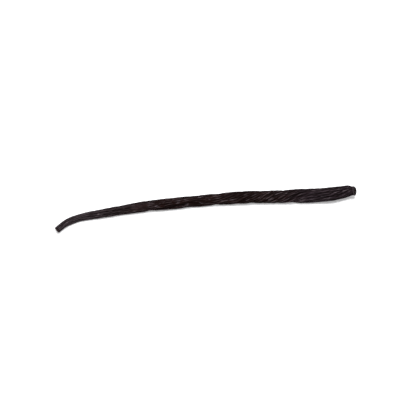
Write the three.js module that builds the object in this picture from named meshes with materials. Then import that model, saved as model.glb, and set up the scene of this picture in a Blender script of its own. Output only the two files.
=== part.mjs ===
// A cured vanilla pod: one long, slender seed capsule with its stem end hooked to one side,
// a slowly thickening body, wrinkled lengthwise by drying, and a blunt end with the flower's scar.
//
// Units are millimetres, +Z is up, and the pod lies on the plane z = 0. Its stem end points
// along -X, its blossom end along +X, and the origin is under the middle of its box.

import * as THREE from 'three';

// ---- Driving dimensions (mm, degrees) -------------------------------------------------------

// Along the axis, from the cut of the stem to the middle of the scar.
const LENGTH = 170.25;

// Bends of the axis in the plane it lies in. Each one is spread over a stretch of the axis.
const START_HEADING = 46.7;
const BENDS = [
  { name: 'hook of the stem', at: 10.8, over: 19, turn: -44 },
  { name: 'long bow of the body', at: 82, over: 130, turn: -12.6 },
  { name: 'lift back of the blossom end', at: 155, over: 11, turn: 16.7 },
];

// Mean radius at places along the axis: cut, stem, shoulder, body, belly, blossom end, scar neck.
const GIRTH = [
  { at: 0, radius: 1.68 },
  { at: 4, radius: 1.76 },
  { at: 14, radius: 2.1 },
  { at: 22, radius: 2.4 },
  { at: 40, radius: 2.64 },
  { at: 62, radius: 3.04 },
  { at: 90, radius: 3.2 },
  { at: 118, radius: 3.48 },
  { at: 138, radius: 3.84 },
  { at: 153, radius: 4.0 },
  { at: 161, radius: 3.65 },
  { at: 165, radius: 3.25 },
  { at: 168.6, radius: 2.4 },
];

// The section is a little wider than high.
const OVAL = 0.07;

// Local swellings. The direction is the angle round the section: 0 is +Y, 90 is up.
const SWELLINGS = [
  { name: 'swelling of the stem', at: 10.5, long: 5, toward: 235, wide: 70, high: 0.3 },
  { name: 'shoulder above the stem', at: 21, long: 5, toward: 235, wide: 70, high: 0.15 },
  { name: 'knot on the back', at: 57, long: 6, toward: 55, wide: 60, high: 0.15 },
  { name: 'fullness of the belly', at: 104, long: 16, toward: 150, wide: 80, high: 0.2 },
  { name: 'hump before the tip', at: 166.3, long: 4.8, toward: 60, wide: 60, high: 0.6 },
  { name: 'lip of the scar', at: 169.5, long: 1.3, toward: 232, wide: 45, high: 0.35 },
];

// Folds of the dried skin: waves that run nearly lengthwise and beat against each other.
const FOLD_SEED = 41;
const FOLD_WAVES = 7;
const FOLDS_AROUND = { fewest: 3, most: 6 };
const FOLD_RUN = 34;
const FOLD_DEPTH = 1.1;
const CREASE_WIDTH = 0.16;

// A fold levels off as it swells, and stands this share of the depth below the girth's radius.
const FOLD_ROUNDING = 0.5;
const FOLD_SINK = 0.6;

// The folds are shallow on the stem, reach their full depth along the neck, and die out at both
// ends, just short of the scar's rim.
const FOLDS_GROW = { from: 6, to: 36, least: 0.35 };
const FOLDS_DIE_OUT = { atStem: 5, atScar: 3.5, shortOfScar: 1.2 };

// The body turned as it dried, so the folds wind round it, most of all along the belly.
const TWISTS = [
  { from: 40, to: 110, turn: -90 },
  { from: 100, to: 147, turn: -260 },
];

// It touches the ground at three places, where its skin is pressed flat. It arches a little
// between them, and both ends rise off the ground.
const CONTACTS = [20, 72, 140];
const ARCH_HEIGHT = 0.5;
const STEM_LIFT = 0.5;
const TIP_LIFT = 1.4;
const PRESSED_DEPTH = 0.4;

// Cut of the stem: a broken edge, then a face whose pith sinks in, from a brink at that share of
// the cut's radius. The cut slants, and the stem is longest on the side given by its direction.
const CUT_EDGE = 0.12;
const PITH = { depth: 0.35, middle: 0.45, brink: 0.85 };
const CUT_SLANT = { over: 8, toward: 123, tilt: 22 };

// The blossom end curls out of the plane of the bends. Its direction is the angle round the
// section, as for a swelling.
const CURL = { over: 8, toward: 140, turn: 45 };

// Scar at the blossom end: a thick round rim that runs down into a pit in its middle. The rim
// is a ring of round section, which the skin follows from one angle round it to the other.
const RIM_ROUND = 1.0;
const RIM_RADIUS = 1.5;
const RIM_START = -35;
const RIM_END = 145;
const PIT_RADIUS = 0.45;
const PIT_MOUTH = 0.65;
const PIT_DEPTH = 1.1;

// Fineness of the solid. The body's rings start this far past the cut, and stop this far short
// of the middle of the rim.
const SECTORS = 40;
const BODY_RINGS = 122;
const BODY_START = 1;
const BODY_STOP = 0.75;
const RIM_STEPS = 5;
const SPINE_STEP = 0.25;

// The axis is walked on past both ends, for the slanted cut and the far side of the curled end.
const SPINE_BEYOND = 3;

// ---- Curves ---------------------------------------------------------------------------------

function radians(degrees) {
  return degrees * Math.PI / 180;
}

function ease(t) {
  const held = Math.min(Math.max(t, 0), 1);
  return held * held * (3 - 2 * held);
}

// A smooth bump of height 1 that falls to nothing one width away from its middle.
function bump(distance, width) {
  return 1 - ease(Math.abs(distance) / width);
}

// A cubic through the girth's places, with the slope at each taken from its two neighbours.
function girth(along) {
  const last = GIRTH.length - 1;
  const slope = (i) => {
    const before = GIRTH[Math.max(i - 1, 0)];
    const after = GIRTH[Math.min(i + 1, last)];
    return (after.radius - before.radius) / (after.at - before.at);
  };
  const place = Math.min(Math.max(along, 0), GIRTH[last].at);
  let i = 0;
  while (i < last - 1 && place > GIRTH[i + 1].at) {
    i += 1;
  }
  const [a, b] = [GIRTH[i], GIRTH[i + 1]];
  const span = b.at - a.at;
  const t = (place - a.at) / span;
  const rise = ease(t);
  const leave = t * (1 - t) * (1 - t) * span * slope(i);
  const arrive = t * t * (t - 1) * span * slope(i + 1);
  return a.radius + (b.radius - a.radius) * rise + leave + arrive;
}

function heading(along) {
  let degrees = START_HEADING;
  for (const bend of BENDS) {
    degrees += bend.turn * ease((along - bend.at) / bend.over + 0.5);
  }
  return radians(degrees);
}

// Points of the axis, found by walking along the heading.
function walkSpine() {
  const points = [new THREE.Vector2(0, 0)];
  const first = SPINE_STEP - SPINE_BEYOND;
  for (let along = first; along <= LENGTH + SPINE_BEYOND; along += SPINE_STEP) {
    const middle = heading(along - SPINE_STEP / 2);
    const last = points[points.length - 1];
    points.push(new THREE.Vector2(
      last.x + SPINE_STEP * Math.cos(middle),
      last.y + SPINE_STEP * Math.sin(middle),
    ));
  }
  return points;
}

const spine = walkSpine();

function spineAt(along) {
  const place = (along + SPINE_BEYOND) / SPINE_STEP;
  const i = Math.min(Math.floor(place), spine.length - 2);
  return spine[i].clone().lerp(spine[i + 1], place - i);
}

// How far the blossom end has curled, in radians.
function curl(along) {
  return radians(CURL.turn) * ease((along - LENGTH) / CURL.over + 1);
}

// The axis's way through the curl: how much shorter it reaches, and how far it goes out.
function curlPath(along) {
  const way = { short: 0, out: 0 };
  for (let step = LENGTH - CURL.over; step < along; step += SPINE_STEP) {
    const part = Math.min(SPINE_STEP, along - step);
    const turned = curl(step + part / 2);
    way.short += part * (1 - Math.cos(turned));
    way.out += part * Math.sin(turned);
  }
  return way;
}

// Height of the axis above the ground, where the body arches between its contacts.
function axisHeight(along) {
  const [first, middle, last] = CONTACTS;
  const span = along < middle ? middle - first : last - middle;
  const inside = along > first && along < last;
  const arch = inside ? ARCH_HEIGHT * Math.sin(Math.PI * (along - middle) / span) ** 2 : 0;
  const stem = STEM_LIFT * ease((first - along) / first);
  const tip = TIP_LIFT * ease((along - last) / (LENGTH - last));
  return girth(along) * (1 - OVAL) - PRESSED_DEPTH + arch + stem + tip;
}

// ---- Skin -----------------------------------------------------------------------------------

function seededRandom(seed) {
  let state = seed;
  return () => {
    state = (state * 1664525 + 1013904223) % 4294967296;
    return state / 4294967296;
  };
}

function makeFoldWaves() {
  const random = seededRandom(FOLD_SEED);
  const choices = FOLDS_AROUND.most - FOLDS_AROUND.fewest + 1;
  return Array.from({ length: FOLD_WAVES }, () => ({
    around: FOLDS_AROUND.fewest + Math.floor(random() * choices),
    along: (random() * 2 - 1) * 2 * Math.PI / FOLD_RUN,
    phase: random() * 2 * Math.PI,
  }));
}

const foldWaves = makeFoldWaves();

// Rounded folds with a narrow crease between them, wherever the sum of the waves crosses zero.
function foldRelief(angle, along) {
  let turned = angle;
  for (const twist of TWISTS) {
    turned -= radians(twist.turn) * ease((along - twist.from) / (twist.to - twist.from));
  }
  let sum = 0;
  for (const wave of foldWaves) {
    sum += Math.cos(wave.around * turned + wave.along * along + wave.phase);
  }
  const level = sum / Math.sqrt(FOLD_WAVES);
  const swell = Math.sqrt(level * level + CREASE_WIDTH * CREASE_WIDTH);
  return swell / (swell + FOLD_ROUNDING) - FOLD_SINK;
}

function swellingRelief(angle, along) {
  let height = 0;
  for (const place of SWELLINGS) {
    const off = Math.atan2(
      Math.sin(angle - radians(place.toward)),
      Math.cos(angle - radians(place.toward)),
    );
    height += place.high * bump(along - place.at, place.long) * bump(off, radians(place.wide));
  }
  return height;
}

function foldDepth(along) {
  const { from, to, least } = FOLDS_GROW;
  const { atStem, atScar, shortOfScar } = FOLDS_DIE_OUT;
  const grown = least + (1 - least) * ease((along - from) / (to - from));
  const ends = ease(along / atStem) * ease((LENGTH - shortOfScar - along) / atScar);
  return FOLD_DEPTH * grown * ends;
}

// One point of the skin. A ring inside an end face has a radius of its own.
function skinPoint(along, angle, faceRadius) {
  const full = girth(along);
  const round = (faceRadius ?? full) * (1 + OVAL * Math.cos(2 * angle));
  const share = (faceRadius ?? full) / full;
  const relief = swellingRelief(angle, along) + foldDepth(along) * foldRelief(angle, along);
  const radius = round + relief * share;
  const way = curlPath(along);
  const toward = radians(CURL.toward);
  const near = radius * Math.cos(angle - toward);
  const out = way.out - near * (1 - Math.cos(curl(along)));
  const slant = Math.tan(radians(CUT_SLANT.tilt)) * (1 - ease(along / CUT_SLANT.over));
  const longest = radius * Math.cos(angle - radians(CUT_SLANT.toward));
  const place = along - way.short - near * Math.sin(curl(along)) - longest * slant;
  const centre = spineAt(place);
  const turn = heading(place);
  const side = radius * Math.cos(angle) + out * Math.cos(toward);
  const rise = radius * Math.sin(angle) + out * Math.sin(toward);
  return [
    centre.x - side * Math.sin(turn),
    centre.y + side * Math.cos(turn),
    Math.max(axisHeight(along) + rise, 0),
  ];
}

// Places of the rings, from the middle of the stem's cut to the middle of the scar.
function ringPlaces() {
  const cut = girth(0);
  const places = [
    { along: PITH.depth / 2, radius: cut * PITH.middle },
    { along: 0, radius: cut * PITH.brink },
    { along: CUT_EDGE, radius: cut },
  ];
  const rimPlace = LENGTH - RIM_ROUND;
  const last = rimPlace - BODY_STOP;
  for (let i = 0; i < BODY_RINGS; i += 1) {
    places.push({ along: BODY_START + (last - BODY_START) * i / (BODY_RINGS - 1) });
  }
  for (let i = 0; i <= RIM_STEPS; i += 1) {
    const turned = radians(RIM_START + (RIM_END - RIM_START) * i / RIM_STEPS);
    places.push({
      along: rimPlace + RIM_ROUND * Math.sin(turned),
      radius: RIM_RADIUS + RIM_ROUND * Math.cos(turned),
    });
  }
  places.push({ along: LENGTH - PIT_MOUTH, radius: PIT_RADIUS });
  return places;
}

function podGeometry() {
  const places = ringPlaces();
  const positions = [];
  for (const place of places) {
    for (let j = 0; j < SECTORS; j += 1) {
      positions.push(...skinPoint(place.along, 2 * Math.PI * j / SECTORS, place.radius));
    }
  }
  const faces = [];
  for (let i = 0; i < places.length - 1; i += 1) {
    for (let j = 0; j < SECTORS; j += 1) {
      const next = (j + 1) % SECTORS;
      const [a, b] = [i * SECTORS + j, i * SECTORS + next];
      const [c, d] = [a + SECTORS, b + SECTORS];
      faces.push(a, b, c, b, d, c);
    }
  }
  const cutCentre = positions.length / 3;
  positions.push(...skinPoint(PITH.depth, 0, 0));
  const scarCentre = cutCentre + 1;
  positions.push(...skinPoint(LENGTH - PIT_DEPTH, 0, 0));
  const lastRing = (places.length - 1) * SECTORS;
  for (let j = 0; j < SECTORS; j += 1) {
    const next = (j + 1) % SECTORS;
    faces.push(cutCentre, next, j);
    faces.push(scarCentre, lastRing + j, lastRing + next);
  }
  const geometry = new THREE.BufferGeometry();
  geometry.setAttribute('position', new THREE.Float32BufferAttribute(positions, 3));
  geometry.setIndex(faces);
  geometry.computeBoundingBox();
  const middle = geometry.boundingBox.getCenter(new THREE.Vector3());
  geometry.translate(-middle.x, -middle.y, -geometry.boundingBox.min.z);
  geometry.computeVertexNormals();
  return geometry;
}

// ---- Assembly -------------------------------------------------------------------------------

// Oily, near-black brown skin.
const skin = new THREE.MeshStandardMaterial({ color: 0x2a2022, roughness: 0.5, metalness: 0 });

const pod = new THREE.Mesh(podGeometry(), skin);
pod.name = 'vanilla_pod';

const part = new THREE.Group();
part.add(pod);

export default part;
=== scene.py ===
"""A cured vanilla pod, lying on a white panel."""

import math

import bpy
import numpy as np
from mathutils import Matrix, Vector


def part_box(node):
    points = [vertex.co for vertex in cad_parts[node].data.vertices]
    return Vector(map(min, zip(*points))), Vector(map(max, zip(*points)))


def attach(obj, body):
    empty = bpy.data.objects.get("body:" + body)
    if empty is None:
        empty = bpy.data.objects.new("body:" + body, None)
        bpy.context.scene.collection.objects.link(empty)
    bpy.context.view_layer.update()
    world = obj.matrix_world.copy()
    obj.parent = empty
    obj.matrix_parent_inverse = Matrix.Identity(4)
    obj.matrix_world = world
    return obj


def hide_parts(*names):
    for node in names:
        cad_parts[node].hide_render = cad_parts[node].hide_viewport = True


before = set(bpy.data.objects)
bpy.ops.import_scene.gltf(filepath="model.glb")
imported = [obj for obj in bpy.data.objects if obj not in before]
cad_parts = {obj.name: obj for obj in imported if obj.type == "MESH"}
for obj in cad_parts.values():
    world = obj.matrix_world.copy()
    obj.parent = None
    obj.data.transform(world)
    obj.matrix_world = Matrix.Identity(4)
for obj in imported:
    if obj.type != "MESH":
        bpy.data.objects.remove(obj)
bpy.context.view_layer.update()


# ---- The vanilla pod ------------------------------------------------------------------------
# The long seed pod of an orchid, whole and uncut: a tough hide round an oily pulp, picked green
# and cured until it is nearly black. It grew as one piece, dried a little bent, and is fixed to
# nothing: it lies on its side, in the plane of its bends.

# The stem is hooked, the body makes one long bow, and the blossom end lifts back and curls up.
# Lengths are in millimetres along the axis, from the stem's cut to the scar of the flower.
MM = 0.001
LENGTH = 170.25
START_HEADING = 46.7  # degrees
BENDS = (
    # (name, middle, stretch, turn in degrees)
    ("hook of the stem", 10.8, 19.0, -44.0),
    ("long bow of the body", 82.0, 130.0, -12.6),
    ("lift back of the blossom end", 155.0, 11.0, 16.7),
)
GIRTH = (
    # (place, mean radius)
    (0.0, 1.68),
    (4.0, 1.76),
    (14.0, 2.1),
    (22.0, 2.4),
    (40.0, 2.64),
    (62.0, 3.04),
    (90.0, 3.2),
    (118.0, 3.48),
    (138.0, 3.84),
    (153.0, 4.0),
    (161.0, 3.65),
    (165.0, 3.25),
    (168.6, 2.4),
)
OVAL = 0.07  # the section is this much wider, and as much lower, than round
CONTACTS = (20.0, 72.0, 140.0)  # the places where it rests, each pressed flat below
PRESSED_DEPTH = 0.4
ARCH_HEIGHT, STEM_LIFT, TIP_LIFT = 0.5, 0.5, 1.4  # rise between contacts, and at either end
CURL_OVER, CURL_TOWARD, CURL_TURN = 8.0, 140.0, 45.0  # of the blossom end, in mm and degrees
SPINE_STEP = 0.25
SPINE_BEYOND = 3.0  # the walk goes on past both ends, for the slanted cut and the curled end


def ease(t):
    held = np.clip(t, 0.0, 1.0)
    return held * held * (3.0 - 2.0 * held)


def bump(distance, width):
    """A smooth bump of height 1 that falls to nothing one width away from its middle."""
    return 1.0 - ease(np.abs(distance) / width)


def heading(along):
    """The way that the axis points at each place, in radians, seen from above."""
    degrees = START_HEADING + np.zeros_like(along)
    for _, middle, stretch, turn in BENDS:
        degrees = degrees + turn * ease((along - middle) / stretch + 0.5)
    return np.radians(degrees)


def girth(along):
    """A cubic through the girth's places, with the slope at each taken from its neighbours."""
    at, radius = np.array(GIRTH).T
    low = np.maximum(np.arange(len(at)) - 1, 0)
    high = np.minimum(np.arange(len(at)) + 1, len(at) - 1)
    slope = (radius[high] - radius[low]) / (at[high] - at[low])
    place = np.clip(along, 0.0, at[-1])
    i = np.clip(np.searchsorted(at, place) - 1, 0, len(at) - 2)
    span = at[i + 1] - at[i]
    t = (place - at[i]) / span
    rise = radius[i] + (radius[i + 1] - radius[i]) * ease(t)
    leave = t * (1 - t) ** 2 * span * slope[i]
    arrive = t**2 * (t - 1) * span * slope[i + 1]
    return rise + leave + arrive


def walk_spine():
    """Points of the axis, found by walking along the heading."""
    steps = np.arange(-SPINE_BEYOND, LENGTH + SPINE_BEYOND, SPINE_STEP) + SPINE_STEP / 2
    way = SPINE_STEP * np.stack([np.cos(heading(steps)), np.sin(heading(steps))], 1)
    return np.concatenate([np.zeros((1, 2)), np.cumsum(way, 0)])


spine = walk_spine()


def spine_at(along):
    places = np.arange(len(spine)) * SPINE_STEP - SPINE_BEYOND
    return np.interp(along, places, spine[:, 0]), np.interp(along, places, spine[:, 1])


def curl(along):
    """How far the blossom end has curled out of the plane of the bends, in radians."""
    return np.radians(CURL_TURN) * ease((along - LENGTH) / CURL_OVER + 1)


def curl_path(along):
    """The axis's way through the curl: how much shorter it reaches, and how far it goes out."""
    steps = np.arange(LENGTH - CURL_OVER, LENGTH, SPINE_STEP)
    turned = curl(steps + SPINE_STEP / 2)
    places = np.append(steps, LENGTH)
    short = np.append(0.0, np.cumsum(1 - np.cos(turned))) * SPINE_STEP
    out = np.append(0.0, np.cumsum(np.sin(turned))) * SPINE_STEP
    return np.interp(along, places, short), np.interp(along, places, out)


def axis_height(along):
    """Height above the ground: the body arches between its contacts, and both ends rise."""
    first, middle, last = CONTACTS
    span = np.where(along < middle, middle - first, last - middle)
    inside = (along > first) & (along < last)
    arch = ARCH_HEIGHT * inside * np.sin(np.pi * (along - middle) / span) ** 2
    stem = STEM_LIFT * ease((first - along) / first)
    tip = TIP_LIFT * ease((along - last) / (LENGTH - last))
    return girth(along) * (1 - OVAL) - PRESSED_DEPTH + arch + stem + tip


# The hide shrank as the pulp dried, so it stands in rounded folds with narrow creases between
# them. They run lengthwise and wind round the body, which turned as it grew.
FOLD_LAYERS = (
    # (name, seed, waves, fewest around, most around, run along the pod, depth, share of it at
    # the stem)
    ("fold", 41, 7, 3, 6, 34.0, 1.1, 0.35),
    ("wrinkle", 7, 9, 5, 9, 9.0, 0.7, 0.7),
    ("fine", 19, 11, 10, 17, 5.0, 0.35, 0.8),
)
CREASE_WIDTH, FOLD_ROUNDING, FOLD_SINK = 0.16, 0.5, 0.6
CREST, CREASE = 0.2, -0.36  # the highest and lowest that folded() gives
UNWRINKLED = -0.05  # what it gives on average, where there are no wrinkles
WRINKLE_GAIN, WEAKEST_WAVES, FULL_WAVES = 1.3, 0.2, 1.1
SLIM_UNTIL, FULL_FROM = 6.0, 36.0  # the folds grow from the stem's share to their full depth
FADE_AT_STEM, FADE_AT_SCAR, SHORT_OF_SCAR = 5.0, 3.5, 1.2
TWISTS = (
    # (from, to, turn in degrees)
    (40.0, 110.0, -90.0),
    (100.0, 147.0, -260.0),
)
SWELLINGS = (
    # (name, place, half length, direction round the section, half width, height)
    ("swelling of the stem", 10.5, 5.0, 235.0, 70.0, 0.3),
    ("shoulder above the stem", 21.0, 5.0, 235.0, 70.0, 0.15),
    ("knot on the back", 57.0, 6.0, 55.0, 60.0, 0.15),
    ("fullness of the belly", 104.0, 16.0, 150.0, 80.0, 0.2),
    ("hump before the tip", 166.3, 4.8, 60.0, 60.0, 0.6),
    ("lip of the scar", 169.5, 1.3, 232.0, 45.0, 0.35),
)
DRAW_FACTOR, DRAW_SHIFT, DRAW_RANGE = 1664525, 1013904223, 4294967296


def seeded_random(seed):
    """Draws from 0 to 1, the same on every run."""
    state = seed
    while True:
        state = (state * DRAW_FACTOR + DRAW_SHIFT) % DRAW_RANGE
        yield state / DRAW_RANGE


def fold_waves(angle, along, seed, waves, fewest, most, run):
    """A sum of waves that run nearly lengthwise and beat against each other: level, strength."""
    draw = seeded_random(seed)
    total = np.zeros_like(along, complex)
    for _ in range(waves):
        around = fewest + math.floor(next(draw) * (most - fewest + 1))
        lengthwise = (next(draw) * 2 - 1) * 2 * math.pi / run
        phase = next(draw) * 2 * math.pi
        total = total + np.exp(1j * (around * angle + lengthwise * along + phase))
    return total.real / math.sqrt(waves), np.abs(total) / math.sqrt(waves)


def folded(level):
    """Rounded folds, with a narrow crease wherever the level crosses zero."""
    swell = np.sqrt(level**2 + CREASE_WIDTH**2)
    return swell / (swell + FOLD_ROUNDING) - FOLD_SINK


def turned_angle(angle, along):
    """The direction round the section, with the body's twist taken out."""
    for start, end, turn in TWISTS:
        angle = angle - math.radians(turn) * ease((along - start) / (end - start))
    return angle


def swelling_relief(angle, along):
    height = np.zeros_like(along)
    for _, place, half_length, toward, half_width, high in SWELLINGS:
        off = (angle - math.radians(toward) + math.pi) % (2 * math.pi) - math.pi
        across = bump(off, math.radians(half_width))
        height = height + high * bump(along - place, half_length) * across
    return height


def skin_relief(angle, along):
    """Height of the skin over its oval, and how deep each point lies in its folds and wrinkles."""
    turned = turned_angle(angle, along)
    body = ease((along - SLIM_UNTIL) / (FULL_FROM - SLIM_UNTIL))
    ends = ease(along / FADE_AT_STEM) * ease((LENGTH - SHORT_OF_SCAR - along) / FADE_AT_SCAR)
    relief = swelling_relief(angle, along)
    depths = {}
    for name, *pattern, depth, at_stem in FOLD_LAYERS:
        level, strength = fold_waves(turned, along, *pattern)
        # Evened creases keep one width, fork, and fade out where their waves cancel. The large
        # folds only take their shading from them, and their shape from the waves themselves.
        evened = folded(WRINKLE_GAIN * level / (strength + WEAKEST_WAVES))
        even = UNWRINKLED + (evened - UNWRINKLED) * ease(strength / FULL_WAVES)
        height = folded(level) if name == "fold" else even
        relief = relief + depth * (at_stem + (1 - at_stem) * body) * ends * height
        depths[name] = (CREST - even) / (CREST - CREASE)
    return relief, depths


# The stem was cut on the slant, and its soft pith has sunk a little. At the other end is the
# scar of the flower: a round rim with a shallow pit. The skin's rings run from the middle of
# the cut, over its broken edge, along the body, round the rim and into the pit.
PITH_DEPTH, PITH_SLOPE = 0.35, 1.1
PITH_SHARE, BROKEN_SHARE = 0.9, 0.97  # of the cut's radius, out to the pith's and broken edges
CUT_EDGE, BROKEN_PLACE = 0.12, 0.35  # the hide's first ring, and the broken edge's share of it
SLANT_OVER, SLANT_TOWARD, SLANT_TILT = 8.0, 123.0, 22.0
RIM_ROUND = 1.0
RIM_RADIUS = 1.5
RIM_NECK = 0.6  # the body's last ring lies this far short of the rim's middle
RIM_START, RIM_END, RIM_STEP = -35, 145, 12  # degrees round the rim's own section
PIT_DEPTH = 1.1
RINGS, SECTORS, FACE_RINGS = 690, 138, 8
OFF_FACE = 9.0


def ring_places():
    """(place along the axis, radius or nan for the body's own girth) of each ring."""
    cut = float(girth(np.array([0.0]))[0])
    rows = []
    for i in range(FACE_RINGS):
        out = (i + 1) / FACE_RINGS
        rows.append((PITH_DEPTH * (1 - ease(out * PITH_SLOPE)), cut * PITH_SHARE * out))
    rows.append((CUT_EDGE * BROKEN_PLACE, cut * BROKEN_SHARE))
    rim_place = LENGTH - RIM_ROUND
    for along in np.linspace(CUT_EDGE, rim_place - RIM_NECK, RINGS):
        rows.append((along, math.nan))
    for degrees in range(RIM_START, RIM_END + 1, RIM_STEP):
        a = math.radians(degrees)
        rows.append((rim_place + RIM_ROUND * math.sin(a), RIM_RADIUS + RIM_ROUND * math.cos(a)))
    mouth, inner = rows[-1]
    for i in range(1, FACE_RINGS):
        inward = i / FACE_RINGS
        floor_drop = (mouth - LENGTH + PIT_DEPTH) * math.sin(inward * math.pi / 2)
        rows.append((mouth - floor_drop, inner * (1 - inward)))
    return np.array(rows)


def skin_points(along, angle, face_radius):
    """Points of the skin round the slanted, bent and curled axis, and their depths in folds."""
    full = girth(along)
    radius = np.where(np.isnan(face_radius), full, face_radius)
    relief, depths = skin_relief(angle, along)
    radius = radius * (1 + OVAL * np.cos(2 * angle)) + relief * radius / full
    toward = math.radians(CURL_TOWARD)
    near = radius * np.cos(angle - toward)
    short, out = curl_path(along)
    slant = math.tan(math.radians(SLANT_TILT)) * (1 - ease(along / SLANT_OVER))
    longest = radius * np.cos(angle - math.radians(SLANT_TOWARD))
    place = along - short - near * np.sin(curl(along)) - longest * slant
    out = out - near * (1 - np.cos(curl(along)))
    turn = heading(place)
    x, y = spine_at(place)
    side = radius * np.cos(angle) + out * math.cos(toward)
    rise = radius * np.sin(angle) + out * math.sin(toward)
    height = np.maximum(axis_height(along) + rise, 0.0)
    return np.stack([x - side * np.sin(turn), y + side * np.cos(turn), height], -1), depths


def skin_faces(rings, sectors):
    """Quads between neighbouring rings, and a fan to a centre point at either end."""
    i, j = np.meshgrid(np.arange(rings - 1), np.arange(sectors), indexing="ij")
    a = (i * sectors + j).ravel()
    b = (i * sectors + (j + 1) % sectors).ravel()
    faces = np.stack([a, b, b + sectors, a + sectors], 1).tolist()
    start, end = rings * sectors, rings * sectors + 1
    last = (rings - 1) * sectors
    for k in range(sectors):
        n = (k + 1) % sectors
        faces.append([start, n, k])
        faces.append([end, last + k, last + n])
    return faces


def keep_on_skin(mesh, name, kind, values):
    """Keeps a value at each point of the skin, for the material to read by its name."""
    layer = mesh.attributes.new(name, kind, "POINT")
    key = "vector" if kind == "FLOAT_VECTOR" else "value"
    layer.data.foreach_set(key, np.asarray(values, np.float32).ravel())


def build_skin():
    rows = ring_places()
    around = 2 * math.pi * np.arange(SECTORS) / SECTORS
    # The last two points are the middles of the cut and of the pit.
    along = np.append(np.repeat(rows[:, 0], SECTORS), [PITH_DEPTH, LENGTH - PIT_DEPTH])
    face = np.append(np.repeat(rows[:, 1], SECTORS), [0.0, 0.0])
    angle = np.append(np.tile(around, len(rows)), [0.0, 0.0])
    points, depths = skin_points(along, angle, face)
    # The skin takes the solid's place: the middles of their boxes lie over each other.
    low, high = points.min(0), points.max(0)
    node_low, node_high = (np.array(corner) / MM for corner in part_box("vanilla_pod"))
    points[:, :2] += ((node_low + node_high) / 2 - (low + high) / 2)[:2]
    mesh = bpy.data.meshes.new("pod_skin")
    mesh.from_pydata((points * MM).tolist(), [], skin_faces(len(rows), SECTORS))
    mesh.polygons.foreach_set("use_smooth", np.ones(len(mesh.polygons), bool))
    # Straightened places on the skin, in mm, with the twist taken out, for its pattern.
    turned = turned_angle(angle, along)
    radius = np.where(np.isnan(face), girth(along), face)
    straight = np.stack([along, radius * np.cos(turned), radius * np.sin(turned)], 1)
    keep_on_skin(mesh, "straight", "FLOAT_VECTOR", straight)
    for name, depth in depths.items():
        keep_on_skin(mesh, name, "FLOAT", np.clip(depth, 0, 1))
    keep_on_skin(mesh, "along", "FLOAT", along)
    # Distance from the axis on the two end faces, in mm, and far more than that elsewhere.
    keep_on_skin(mesh, "face", "FLOAT", np.where(np.isnan(face), OFF_FACE, face))
    mesh.update()
    skin = bpy.data.objects.new("pod_skin", mesh)
    bpy.context.scene.collection.objects.link(skin)
    return skin


skin = build_skin()


def linear(hex_colour):
    """An sRGB hex colour as the linear colour that a shader takes."""
    parts = [int(hex_colour[i : i + 2], 16) / 255 for i in (1, 3, 5)]
    return [p / 12.92 if p <= 0.04045 else ((p + 0.055) / 1.055) ** 2.4 for p in parts] + [1.0]


def add_node(tree, kind, settings, inputs):
    """Adds a node with its settings. Each input takes a value, or a link from another node."""
    node = tree.nodes.new(kind)
    for name, value in settings.items():
        setattr(node, name, value)
    for key, value in inputs.items():
        if isinstance(value, bpy.types.NodeSocket):
            tree.links.new(value, node.inputs[key])
        else:
            node.inputs[key].default_value = value
    return node


# Cured skin: tough, oily plant hide, fermented and sun dried to a brown that is nearly black.
# It gives the eye a soft, dark, uneven hide: the crests are smooth and painted paler, partly
# rubbed wear and partly painted highlight, and the creases are dull and painted near black as
# painted shade. Noise is in millimetres of the straightened skin. Fibres are 0.7 mm apart and
# 7 mm long, as the strands under the skin are; flecks of dried oil are 1 by 4 mm, and the pale
# ones are partly painted glints; patches where the skin lay on its neighbours are 3 by 12 mm;
# the grain of the hide is 0.15 mm, drawn twice as coarse to show.
NOISES = (
    # (name, squeeze along the pod, scale, detail, roughness)
    ("fibres", 0.1, 1.4, 5, 0.65),
    ("flecks", 0.25, 1.0, 3, 0.6),
    ("patches", 0.25, 0.33, 2, 0.5),
    ("grain", 1.0, 3.3, 2, 0.6),
)
HIDE_COLOUR = "#1a0c09"
COATS = (
    # Each coat lies over those before it: (pattern, where it starts, where it is full, strength,
    # colour). Fold, wrinkle and fine go from 0 on a crest to 1 in a crease; along and face are
    # in mm, and they colour the stem, the blossom end, the scar's pit and the stem's cut.
    ("fibres", 0.42, 0.58, 0.9, "#2e1916"),
    # The crests of the fine lines and wrinkles are painted paler: partly rubbed wear, partly
    # painted highlight.
    ("fine", 0.36, 0.2, 0.85, "#3d3030"),
    ("wrinkle", 0.36, 0.2, 0.75, "#4d4143"),
    ("patches", 0.43, 0.57, 0.8, "#170a08"),
    ("along", 60.0, 5.0, 0.68, "#4e474c"),
    ("along", 122.0, 144.0, 0.6, "#332c34"),
    # The pale flecks are partly dried oil and partly painted glints.
    ("flecks", 0.56, 0.67, 0.6, "#72676c"),
    ("flecks", 0.46, 0.36, 0.6, "#140c0b"),
    # Painted shade: the creases of the fine lines, wrinkles and large folds are painted near
    # black.
    ("fine", 0.4, 0.75, 0.75, "#080404"),
    ("wrinkle", 0.4, 0.75, 1.0, "#060303"),
    ("fold", 0.45, 0.8, 0.9, "#080404"),
    # The crest of the scar's rim is painted paler: partly its paler scar tissue, partly painted
    # highlight.
    ("along", 169.35, 169.65, 0.45, "#5c5359"),
    ("face", 2.38, 2.2, 0.95, "#120c0c"),
    ("face", 1.0, 0.4, 0.6, "#3a2e2e"),
    ("along", 1.1, 0.6, 0.85, "#0c0808"),
    ("along", 0.45, 0.3, 0.7, "#38292a"),
)
ROUGHNESSES = (
    # Their sum is the roughness: (pattern, where it starts, where it ends, from, to)
    ("wrinkle", 0.1, 0.8, 0.36, 0.6),
    ("fine", 0.1, 0.9, -0.05, 0.2),
)
RELIEFS = (
    # (pattern, strength, height in mm)
    ("fibres", 0.6, 0.15),
    ("grain", 0.4, 0.03),
)
OIL_IOR = 1.45
# The oil has soaked in, and the hide is matt close up, so its sheen is faint and a little warm.
SHEEN_LEVEL, SHEEN_TINT = 0.03, "#ffe4e4"


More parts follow.
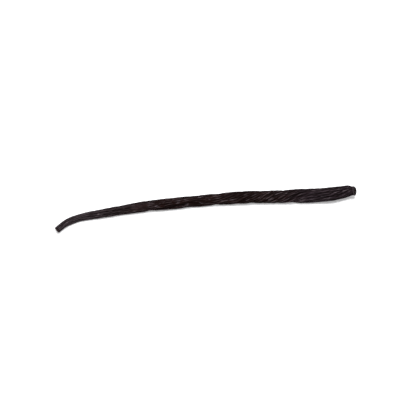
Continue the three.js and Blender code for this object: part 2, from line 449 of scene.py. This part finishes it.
def cured_skin():
    material = bpy.data.materials.new("cured vanilla skin")
    material.use_nodes = True
    tree = material.node_tree
    shader = tree.nodes["Principled BSDF"]
    value = {}
    for name in ("straight", "fold", "wrinkle", "fine", "along", "face"):
        stored = add_node(tree, "ShaderNodeAttribute", {"attribute_name": name}, {})
        value[name] = stored.outputs["Vector" if name == "straight" else "Fac"]
    for name, squeeze, scale, detail, roughness in NOISES:
        placed = {"Vector": value["straight"], "Scale": (squeeze, 1, 1)}
        spread = add_node(tree, "ShaderNodeMapping", {}, placed).outputs[0]
        look = {"Vector": spread, "Scale": scale, "Detail": detail, "Roughness": roughness}
        value[name] = add_node(tree, "ShaderNodeTexNoise", {}, look).outputs[0]

    colour = linear(HIDE_COLOUR)
    for name, start, full, strength, coat in COATS:
        limits = {"Value": value[name], 1: start, 2: full, 3: 0.0, 4: strength}
        amount = add_node(tree, "ShaderNodeMapRange", {}, limits).outputs[0]
        layers = {0: amount, 6: colour, 7: linear(coat)}
        colour = add_node(tree, "ShaderNodeMix", {"data_type": "RGBA"}, layers).outputs[2]
    tree.links.new(colour, shader.inputs["Base Color"])

    shares = {}
    for i, (name, start, end, smooth, dull) in enumerate(ROUGHNESSES):
        limits = {"Value": value[name], 1: start, 2: end, 3: smooth, 4: dull}
        shares[i] = add_node(tree, "ShaderNodeMapRange", {}, limits).outputs[0]
    rough = add_node(tree, "ShaderNodeMath", {"operation": "ADD"}, shares).outputs[0]
    tree.links.new(rough, shader.inputs["Roughness"])
    shader.inputs["IOR"].default_value = OIL_IOR
    shader.inputs["Specular Tint"].default_value = linear(SHEEN_TINT)
    shader.inputs["Specular IOR Level"].default_value = SHEEN_LEVEL

    under = {}
    for name, strength, height in RELIEFS:
        raised = {"Height": value[name], "Strength": strength, "Distance": height * MM, **under}
        under = {"Normal": add_node(tree, "ShaderNodeBump", {}, raised).outputs[0]}
    tree.links.new(under["Normal"], shader.inputs["Normal"])
    return material


skin.data.materials.append(cured_skin())
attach(skin, "root")
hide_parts("vanilla_pod")


# ---- The white panel ------------------------------------------------------------------------
# A wide panel of matt white acrylic, which gives the pod an even pale ground. It is lit from
# below a little, as a light table is, so that the pod's shadow on it stays pale.

PANEL_HALF = 3.0
PANEL_WHITE = "#f4f4f5"
PANEL_ROUGHNESS, PANEL_SHEEN, PANEL_GLOW = 0.9, 0.2, 0.4
floor_mesh = bpy.data.meshes.new("floor")
corners = [(-PANEL_HALF, -PANEL_HALF, 0), (PANEL_HALF, -PANEL_HALF, 0)]
corners += [(PANEL_HALF, PANEL_HALF, 0), (-PANEL_HALF, PANEL_HALF, 0)]
floor_mesh.from_pydata(corners, [], [(0, 1, 2, 3)])
floor = bpy.data.objects.new("floor", floor_mesh)
bpy.context.scene.collection.objects.link(floor)
panel = bpy.data.materials.new("white acrylic panel")
panel.use_nodes = True
panel_shader = panel.node_tree.nodes["Principled BSDF"]
panel_shader.inputs["Base Color"].default_value = linear(PANEL_WHITE)
panel_shader.inputs["Roughness"].default_value = PANEL_ROUGHNESS
panel_shader.inputs["Specular IOR Level"].default_value = PANEL_SHEEN
panel_shader.inputs["Emission Color"].default_value = linear(PANEL_WHITE)
panel_shader.inputs["Emission Strength"].default_value = PANEL_GLOW
floor_mesh.materials.append(panel)


# ---- The light ------------------------------------------------------------------------------
# A wide soft box hangs overhead, a little in front of the pod, and a weaker one behind it
# brightens its top edge. Both are aimed at the pod, and a pale surround fills the rest.

SOFT_BOXES = (
    # (name, side, place, power in watts)
    ("overhead", 0.6, (0.05, -0.15, 0.9), 9.5),
    ("back light", 0.5, (-0.3, 0.7, 0.7), 3.0),
)
SURROUND_COLOUR, SURROUND_STRENGTH = "#f4f4f5", 0.15

for name, side, place, power in SOFT_BOXES:
    lamp = bpy.data.lights.new(name, "AREA")
    lamp.shape = "SQUARE"
    lamp.size = side
    lamp.energy = power
    box = bpy.data.objects.new(name, lamp)
    box.location = place
    box.rotation_euler = (-Vector(place)).to_track_quat("-Z", "Y").to_euler()
    bpy.context.scene.collection.objects.link(box)

surround = bpy.data.worlds.new("pale surround")
bpy.context.scene.world = surround
surround.use_nodes = True
backdrop = surround.node_tree.nodes["Background"]
backdrop.inputs["Color"].default_value = linear(SURROUND_COLOUR)
backdrop.inputs["Strength"].default_value = SURROUND_STRENGTH
bpy.context.scene.view_settings.view_transform = "Standard"


# ---- The camera -----------------------------------------------------------------------------
# A short telephoto lens looks down on the pod from in front, a little to the stem's side.

AIM = Vector((-0.00091, -0.00316, 0.00361))
DISTANCE = 0.3871
ELEVATION = math.radians(40.05)
AZIMUTH = math.radians(10.66)
ROLL = math.radians(-0.12)
LENS, SENSOR = 61.06, 36.0
NEAREST = 0.01
back = Vector((
    -math.sin(AZIMUTH) * math.cos(ELEVATION),
    -math.cos(AZIMUTH) * math.cos(ELEVATION),
    math.sin(ELEVATION),
))
camera_data = bpy.data.cameras.new("camera")
camera_data.lens = LENS
camera_data.sensor_width = SENSOR
camera_data.clip_start = NEAREST
camera = bpy.data.objects.new("camera", camera_data)
camera.matrix_world = (
    Matrix.Translation(AIM + back * DISTANCE)
    @ back.to_track_quat("Z", "Y").to_matrix().to_4x4()
    @ Matrix.Rotation(ROLL, 4, "Z")
)
bpy.context.scene.collection.objects.link(camera)
bpy.context.scene.camera = camera
